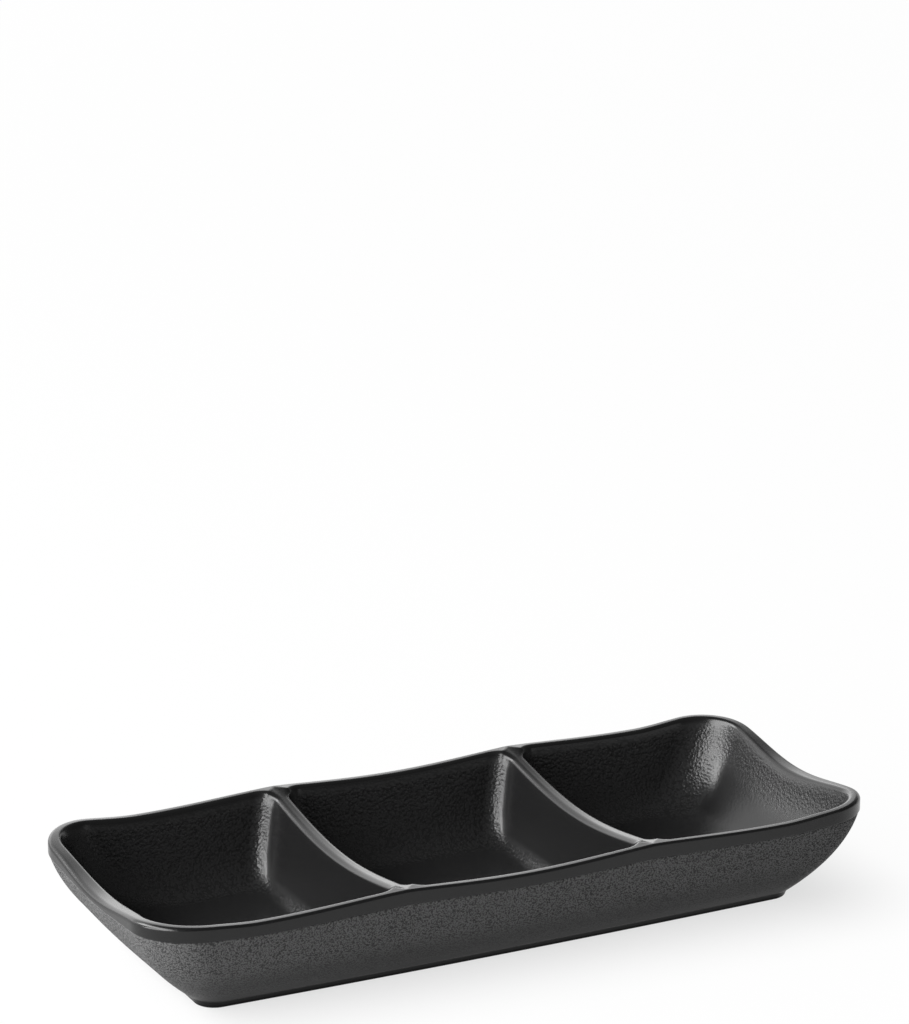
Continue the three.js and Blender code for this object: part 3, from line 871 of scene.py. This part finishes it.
def area_lamp(name, azimuth, elevation, distance, width, height, roll, radiance):
    """A rectangular soft lamp that faces the dish. Its power is pi times its area times its radiance.

    The azimuth goes from the front of the dish towards its left, and the roll turns the lamp in its own
    plane.
    """
    lamp = bpy.data.lights.new(name, "AREA")
    lamp.shape = "RECTANGLE"
    lamp.size, lamp.size_y = width, height
    lamp.energy = math.pi * width * height * radiance
    turn, rise = math.radians(azimuth), math.radians(elevation)
    away = Vector((-math.sin(turn) * math.cos(rise), -math.cos(turn) * math.cos(rise), math.sin(rise)))
    holder = bpy.data.objects.new(name, lamp)
    holder.location = away * distance
    holder.rotation_mode = "QUATERNION"
    facing = (-away).to_track_quat("-Z", "Y")
    holder.rotation_quaternion = facing @ Quaternion((0, 0, 1), math.radians(roll))
    holder.visible_camera = False
    bpy.context.scene.collection.objects.link(holder)


def make_light():
    """Soft studio light: a dim room, a soft box and a low strip at the left, a back and a right panel."""
    world = bpy.data.worlds.new("dim_room")
    bpy.context.scene.world = world
    world.use_nodes = True
    background = world.node_tree.nodes["Background"]
    feed_named(world.node_tree.links, background, {"Color": WHITE, "Strength": ROOM_STRENGTH})
    area_lamp("left_soft_box", azimuth=100, elevation=37, distance=1.6,
              width=2.1, height=0.72, roll=0, radiance=12.0)
    area_lamp("low_left_strip", azimuth=79, elevation=12, distance=1.6,
              width=1.8, height=0.48, roll=10, radiance=10.5)
    area_lamp("back_panel", azimuth=173, elevation=26, distance=2.0,
              width=3.4, height=1.5, roll=8, radiance=1.6)
    area_lamp("right_panel", azimuth=325, elevation=8, distance=1.6,
              width=0.45, height=0.34, roll=0, radiance=1.0)


def make_camera():
    """The photograph's viewpoint: a long lens, left of the front and looking down a little."""
    camera = bpy.data.cameras.new("camera")
    camera.sensor_width = CAMERA_SENSOR_WIDTH
    camera.lens = CAMERA_LENS
    camera.clip_end = CAMERA_CLIP_END
    holder = bpy.data.objects.new("camera", camera)
    holder.location = CAMERA_PLACE
    tilt = math.pi / 2 - math.radians(CAMERA_ELEVATION)
    holder.rotation_euler = (tilt, 0.0, math.radians(CAMERA_AZIMUTH))
    bpy.context.scene.collection.objects.link(holder)
    bpy.context.scene.camera = holder


left_well = well_stations(-HALF_LENGTH, -DIVIDER_X, True, False)
middle_well = well_stations(-DIVIDER_X, DIVIDER_X, False, False)
right_well = well_stations(DIVIDER_X, HALF_LENGTH, False, True)
wells = [left_well, middle_well, right_well]
rim = rim_stations(wells)

grain = moulded_grain()
rim_skin = rim_surface(rim)
tray_skins = [well_surface(well) for well in wells] + [(rim_skin, np.zeros(rim_skin.shape[:2]))]
tray = closed_piece("moulded_tray", tray_skins, "hammered")
tray.data.materials.append(satin_black(grain))
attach(tray, "root")
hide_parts("inner_tray")

# The shell's mask carries the sand grain and the painted shade low on its wall.
shell = closed_piece("moulded_shell", [shell_surface(rim)], "sand_and_painted_shade")
shell.data.materials.append(grained_black(grain))
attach(shell, "root")
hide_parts("outer_shell")

make_floor()
make_light()
make_camera()
bpy.context.scene.view_settings.view_transform = "Standard"
